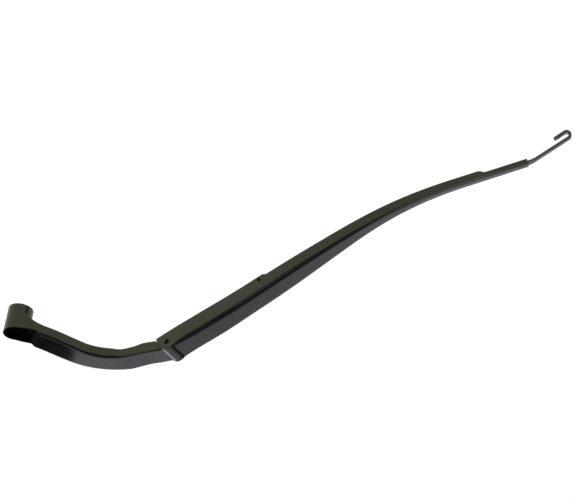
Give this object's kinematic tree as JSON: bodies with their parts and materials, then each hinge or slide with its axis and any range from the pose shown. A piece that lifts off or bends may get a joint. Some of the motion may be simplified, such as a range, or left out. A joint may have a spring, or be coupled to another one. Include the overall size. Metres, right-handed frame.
{
  "type": "windscreen wiper arm",
  "caption": "Sprung wiper arm: bent hollow cast head with a spindle boss, hinged to a tapering, twisted pressed channel whose crimped tail holds a flat rod ending in a U hook.",
  "frame": {"origin": "on the spindle axis, at the boss's windscreen-side end", "axes": "+Z along the spindle axis, away from the car; +X from the boss along the arm; +Y completes a right-handed set"},
  "size_m": [0.5598, 0.2804, 0.2202],
  "materials": {
    "head_paint": "black satin paint over a die casting, slightly uneven",
    "channel_paint": "black satin paint over pressed steel",
    "rod_paint": "thin worn dark coating over flat steel",
    "painted_steel": "painted over with the channel",
    "bare_steel": "zinc-plated steel",
    "spring_steel": "oiled spring steel",
    "bush": "plain bearing bronze"
  },
  "bodies": {
    "head": {"arm_head": "head_paint", "bush_near": "bush", "bush_far": "bush", "link_pin": "bare_steel"},
    "arm": {"retainer_channel": "channel_paint", "pivot_pin": "painted_steel", "anchor_pin": "painted_steel", "end_rod": "rod_paint"},
    "link": {"spring_link": "bare_steel"},
    "spring": {"arm_spring": "spring_steel"}
  },
  "joints": [
    {"name": "arm_lift", "type": "hinge", "parent": "head", "child": "arm", "pos_m": [0.1687, 0.0039, 0.017], "axis": [0.6101, -0.7923, 0], "range_deg": [0, 60], "stiffness_Nm_per_rad": 0.8, "springref_deg": -57.3},
    {"name": "link_swing", "type": "hinge", "parent": "head", "child": "link", "pos_m": [0.16379, 0.00012, 0.01722], "axis": [0.6101, -0.7923, 0], "range_deg": [0, 58]},
    {"name": "spring_swing", "type": "hinge", "parent": "arm", "child": "spring", "pos_m": [0.25517, 0.07049, -0.03783], "axis": [0.6101, -0.7923, 0], "range_deg": [-3, 0]}
  ],
  "couplings": [
    {"joint": "link_swing", "follows": "arm_lift", "ratio": 0.9538},
    {"joint": "spring_swing", "follows": "arm_lift", "ratio": -0.0462}
  ]
}
